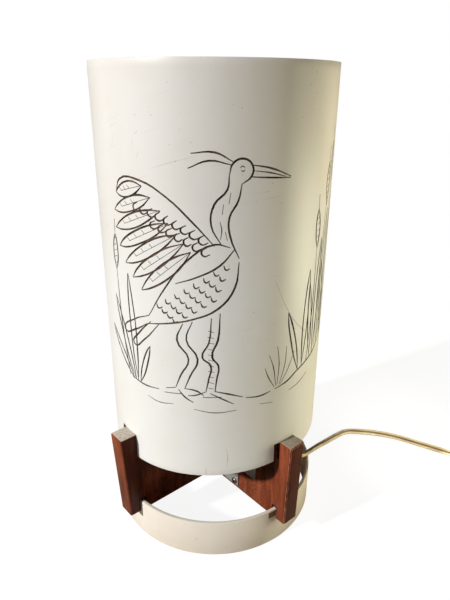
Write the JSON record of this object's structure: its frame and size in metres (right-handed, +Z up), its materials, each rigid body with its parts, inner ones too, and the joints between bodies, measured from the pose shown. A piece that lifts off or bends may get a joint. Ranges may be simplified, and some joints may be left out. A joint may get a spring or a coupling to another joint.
{
  "type": "rotating motion lamp",
  "caption": "Table lamp with a carved plastic pipe shade notched over crossed wooden boards on a pipe foot ring, with a warm-air rotor inside.",
  "frame": {"origin": "centre of the foot ring on the surface the lamp stands on", "axes": "+Z up along the pipe's axis, +X along the lower cross board, +Y along the upper cross board"},
  "size_m": [0.304, 0.3069, 0.3362],
  "materials": {
    "pipe_plastic": "weathered pipe plastic, satin",
    "hardwood": "oiled reddish-brown hardwood",
    "bracket_sheet": "dull grey zinc-coated sheet",
    "screw_steel": "dull",
    "nipple_brass": "satin",
    "harp_metal": "nickel plated",
    "socket_brass": "aged satin",
    "black_plastic": "moulded",
    "liner_board": "insulating fibre board",
    "bulb_aluminium": "satin",
    "bulb_glass": "frosted",
    "stem_glass": "clear",
    "filament_wire": "fine wire",
    "needle_steel": "polished",
    "fan_aluminium": "bright",
    "drum_film": "printed translucent film",
    "hoop_steel": "wire",
    "cord_plastic": "clear gold flat lamp cord",
    "plug_plastic": "moulded"
  },
  "bodies": {
    "base": {"foot_ring": "pipe_plastic", "lower_cross_board": "hardwood", "upper_cross_board": "hardwood", "socket_bracket": "bracket_sheet", "bracket_screws": "screw_steel", "threaded_nipple": "nipple_brass", "lock_washer": "screw_steel", "lock_nut": "nipple_brass", "harp_saddle": "harp_metal", "harp_loop": "harp_metal", "harp_ferrules": "nipple_brass", "socket_cap": "socket_brass", "cord_bushing": "black_plastic", "socket_shell": "socket_brass", "shell_liner": "liner_board", "socket_body": "black_plastic", "screw_shell": "nipple_brass", "centre_contact": "nipple_brass", "terminal_screws": "nipple_brass", "bulb_cap": "bulb_aluminium", "bulb_foot": "nipple_brass", "bulb_glass": "bulb_glass", "bulb_stem": "stem_glass", "bulb_filament": "filament_wire", "pivot_needle": "needle_steel", "cord_lead": "cord_plastic", "cord_coil": "cord_plastic", "cord_tail": "cord_plastic", "plug_body": "plug_plastic", "plug_blades": "nipple_brass"},
    "shade": {"shade_tube": "pipe_plastic"},
    "rotor": {"rotor_cup": "nipple_brass", "rotor_fan": "fan_aluminium", "rotor_drum": "drum_film", "rotor_hoop": "hoop_steel", "rotor_rivets": "fan_aluminium"},
    "switch": {"switch_spindle": "nipple_brass", "switch_key": "black_plastic"}
  },
  "joints": [
    {"name": "shade_lift", "type": "slide", "parent": "base", "child": "shade", "axis": [0, 0, 1], "range_m": [0, 0.24]},
    {"name": "rotor_turn", "type": "hinge", "parent": "base", "child": "rotor", "pos_m": [0, 0, 0.293], "axis": [0, 0, 1], "continuous": true},
    {"name": "switch_turn", "type": "hinge", "parent": "base", "child": "switch", "pos_m": [-0.0205, 0, 0.0894], "axis": [-1, 0, 0], "continuous": true}
  ]
}
